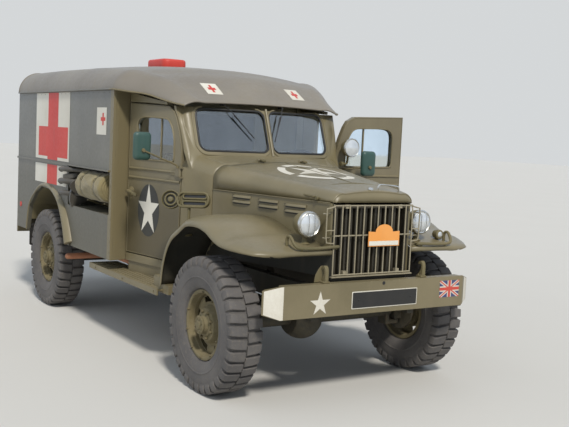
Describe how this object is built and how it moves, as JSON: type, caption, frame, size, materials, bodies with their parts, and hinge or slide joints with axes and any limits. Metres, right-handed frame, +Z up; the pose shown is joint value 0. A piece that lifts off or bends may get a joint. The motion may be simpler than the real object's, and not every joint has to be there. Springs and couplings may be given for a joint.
{
  "type": "military ambulance truck",
  "caption": "Light four-wheel-drive military ambulance truck with a closed body, hinged doors, hood, steered front wheels and a spare wheel in the side.",
  "frame": {"origin": "on the ground, midway along the vehicle's length and width", "axes": "-Y is forward, +X is the vehicle's left, +Z is up"},
  "size_m": [2.376, 4.94, 2.2955],
  "materials": {
    "olive_paint": "matt, weathered",
    "dark_paint": "matt",
    "tyre_rubber": "matt",
    "window_glass": "clear",
    "canvas": "woven",
    "seat_cover": "woven",
    "bare_steel": "rusty",
    "lamp_metal": "satin",
    "red_paint": "matt"
  },
  "bodies": {
    "vehicle": {"hood_sides": "olive_paint", "fender_left": "olive_paint", "fender_right": "olive_paint", "cowl_and_cab": "olive_paint", "body_side_left": "olive_paint", "body_side_right": "olive_paint", "roof": "olive_paint", "rear_wall": "olive_paint", "running_boards": "olive_paint", "front_bumper": "olive_paint", "tow_hooks": "olive_paint", "grille_guard": "olive_paint", "radiator_shell": "olive_paint", "spare_wheel": "olive_paint", "rear_step": "olive_paint", "bulkhead": "olive_paint", "load_floor": "olive_paint", "side_benches": "olive_paint", "fuel_tank": "olive_paint", "chassis_frame": "dark_paint", "front_axle": "dark_paint", "rear_axle": "dark_paint", "leaf_springs": "dark_paint", "gearbox_and_shafts": "dark_paint", "engine": "dark_paint", "steering_column": "dark_paint", "seat_frames": "dark_paint", "spare_tyre": "tyre_rubber", "windshield_glass": "window_glass", "canvas_roll": "canvas", "seat_cushions": "seat_cover", "exhaust": "bare_steel", "pioneer_tools": "bare_steel", "lamps": "lamp_metal", "spotlight": "lamp_metal", "siren": "lamp_metal", "roof_vent": "red_paint"},
    "knuckle_left": {"knuckle_left": "dark_paint"},
    "knuckle_right": {"knuckle_right": "dark_paint"},
    "tie_rod": {"tie_rod": "dark_paint"},
    "wheel_front_left": {"wheel_front_left": "olive_paint", "tyre_front_left": "tyre_rubber"},
    "wheel_front_right": {"wheel_front_right": "olive_paint", "tyre_front_right": "tyre_rubber"},
    "wheel_rear_left": {"wheel_rear_left": "olive_paint", "tyre_rear_left": "tyre_rubber"},
    "wheel_rear_right": {"wheel_rear_right": "olive_paint", "tyre_rear_right": "tyre_rubber"},
    "door_left": {"door_left": "olive_paint", "door_glass_left": "window_glass", "mirror_left": "dark_paint"},
    "door_right": {"door_right": "olive_paint", "door_glass_right": "window_glass", "mirror_right": "dark_paint"},
    "rear_door_left": {"rear_door_left": "olive_paint", "rear_glass_left": "window_glass"},
    "rear_door_right": {"rear_door_right": "olive_paint", "rear_glass_right": "window_glass"},
    "hood": {"hood": "olive_paint"}
  },
  "joints": [
    {"name": "steer_left", "type": "hinge", "parent": "vehicle", "child": "knuckle_left", "pos_m": [0.676, -1.842, 0.44], "axis": [0, 0, 1], "range_deg": [-30, 30]},
    {"name": "steer_right", "type": "hinge", "parent": "vehicle", "child": "knuckle_right", "pos_m": [-0.676, -1.842, 0.44], "axis": [0, 0, 1], "range_deg": [-30, 30]},
    {"name": "tie_rod_slide", "type": "slide", "parent": "vehicle", "child": "tie_rod", "axis": [1, 0, 0], "range_m": [-0.103, 0.103]},
    {"name": "front_wheel_left", "type": "hinge", "parent": "knuckle_left", "child": "wheel_front_left", "pos_m": [0.8225, -1.842, 0.44], "axis": [1, 0, 0], "continuous": true},
    {"name": "front_wheel_right", "type": "hinge", "parent": "knuckle_right", "child": "wheel_front_right", "pos_m": [-0.8225, -1.842, 0.44], "axis": [1, 0, 0], "continuous": true},
    {"name": "rear_wheel_left", "type": "hinge", "parent": "vehicle", "child": "wheel_rear_left", "pos_m": [0.8225, 1.231, 0.44], "axis": [1, 0, 0], "continuous": true},
    {"name": "rear_wheel_right", "type": "hinge", "parent": "vehicle", "child": "wheel_rear_right", "pos_m": [-0.8225, 1.231, 0.44], "axis": [1, 0, 0], "continuous": true},
    {"name": "door_left_hinge", "type": "hinge", "parent": "vehicle", "child": "door_left", "pos_m": [0.693, -1.014, 1.2], "axis": [0, 0, 1], "range_deg": [0, 80]},
    {"name": "door_right_hinge", "type": "hinge", "parent": "vehicle", "child": "door_right", "pos_m": [-0.693, -1.014, 1.2], "axis": [0, 0, 1], "range_deg": [0, 80]},
    {"name": "rear_door_left_hinge", "type": "hinge", "parent": "vehicle", "child": "rear_door_left", "pos_m": [0.642, 2.083, 1.3], "axis": [0, 0, -1], "range_deg": [0, 110]},
    {"name": "rear_door_right_hinge", "type": "hinge", "parent": "vehicle", "child": "rear_door_right", "pos_m": [-0.642, 2.083, 1.3], "axis": [0, 0, 1], "range_deg": [0, 110]},
    {"name": "hood_hinge", "type": "hinge", "parent": "vehicle", "child": "hood", "pos_m": [0, -1.297, 1.475], "axis": [-1, 0, 0], "range_deg": [0, 50]}
  ],
  "couplings": [
    {"joint": "steer_right", "follows": "steer_left", "ratio": 1},
    {"joint": "tie_rod_slide", "follows": "steer_left", "m_per_rad": -0.195}
  ]
}
